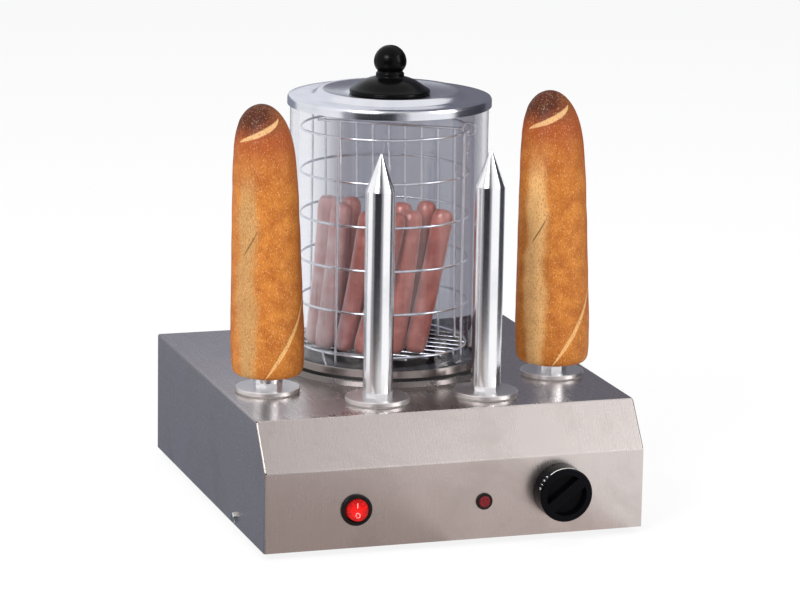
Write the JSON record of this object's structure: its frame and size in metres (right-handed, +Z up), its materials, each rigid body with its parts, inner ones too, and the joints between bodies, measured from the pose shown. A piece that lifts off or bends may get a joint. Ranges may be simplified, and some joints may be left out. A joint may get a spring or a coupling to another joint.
{
  "type": "hot dog steamer",
  "caption": "Counter-top hot dog steamer: stainless case, glass cylinder with lid and wire basket of sausages, and heated aluminium spikes with buns.",
  "frame": {"origin": "on the surface that the feet stand on, under the middle of the whole outline", "axes": "+Z up, the front face with the controls towards -Y, +X to the right of someone facing the controls"},
  "size_m": [0.2952, 0.348, 0.3428],
  "materials": {
    "case_steel": "satin",
    "panel_steel": "satin",
    "pan_steel": "gloss",
    "lid_steel": "gloss",
    "wire_steel": "gloss",
    "screw_steel": "gloss",
    "clear_glass": "gloss",
    "black_rubber": "matte",
    "seal_silicone": "matte",
    "spike_aluminium": "satin",
    "flange_aluminium": "satin",
    "bun_crust": "matte",
    "sausage_skin": "satin",
    "black_phenolic": "gloss",
    "switch_black": "satin",
    "rocker_red": "gloss",
    "lens_red": "gloss",
    "dial_black": "satin",
    "inner_plastic": "matte",
    "ceramic_cap": "matte",
    "heater_steel": "satin",
    "copper_tube": "satin"
  },
  "bodies": {
    "base": {"case_shell": "case_steel", "bottom_plate": "panel_steel", "back_panel": "panel_steel", "side_screws": "screw_steel", "back_screws": "screw_steel", "foot_screws": "screw_steel", "pan_seal": "black_rubber", "water_pan": "pan_steel", "glass_seal": "seal_silicone", "glass_cylinder": "clear_glass", "pan_heater": "heater_steel", "heater_posts": "ceramic_cap", "heater_clamp": "panel_steel", "heater_studs": "screw_steel", "dry_boil_cutout": "inner_plastic", "spike_seals": "seal_silicone", "spike_nuts": "screw_steel", "spike_heaters": "heater_steel", "switch_body": "switch_black", "lamp_ring": "switch_black", "lamp_lens": "lens_red", "lamp_nut": "inner_plastic", "thermostat_body": "inner_plastic", "thermostat_screws": "screw_steel", "thermostat_bulb": "copper_tube", "capillary": "copper_tube", "cord_gland": "switch_black", "gland_nut": "switch_black", "terminal_block": "inner_plastic", "block_screws": "screw_steel", "earth_stud": "screw_steel", "foot_front_left": "black_rubber", "foot_front_right": "black_rubber", "foot_rear_left": "black_rubber", "foot_rear_right": "black_rubber", "spike_left_outer": "spike_aluminium", "flange_left_outer": "flange_aluminium", "spike_left_inner": "spike_aluminium", "flange_left_inner": "flange_aluminium", "spike_right_inner": "spike_aluminium", "flange_right_inner": "flange_aluminium", "spike_right_outer": "spike_aluminium", "flange_right_outer": "flange_aluminium"},
    "basket": {"basket_hoops": "wire_steel", "basket_legs": "wire_steel", "basket_divider": "wire_steel", "basket_floor": "wire_steel", "sausages": "sausage_skin"},
    "lid": {"lid_shell": "lid_steel", "lid_knob": "black_phenolic", "lid_washer": "screw_steel", "lid_screw": "screw_steel"},
    "left_bun": {"bun_left": "bun_crust"},
    "right_bun": {"bun_right": "bun_crust"},
    "switch_rocker": {"rocker": "rocker_red"},
    "dial": {"thermostat_knob": "dial_black", "thermostat_shaft": "screw_steel"}
  },
  "joints": [
    {"name": "basket_lift", "type": "slide", "parent": "base", "child": "basket", "axis": [0, 0, 1], "range_m": [0, 0.22]},
    {"name": "lid_lift", "type": "slide", "parent": "basket", "child": "lid", "axis": [0, 0, 1], "range_m": [0, 0.1]},
    {"name": "left_bun_lift", "type": "slide", "parent": "base", "child": "left_bun", "axis": [0, 0, 1], "range_m": [0, 0.2]},
    {"name": "right_bun_lift", "type": "slide", "parent": "base", "child": "right_bun", "axis": [0, 0, 1], "range_m": [0, 0.2]},
    {"name": "switch_tilt", "type": "hinge", "parent": "base", "child": "switch_rocker", "pos_m": [-0.0763, -0.157, 0.0334], "axis": [1, 0, 0], "range_deg": [0, 14]},
    {"name": "dial_turn", "type": "hinge", "parent": "base", "child": "dial", "pos_m": [0.0792, -0.158, 0.0374], "axis": [0, 1, 0], "range_deg": [-90, 180]}
  ]
}
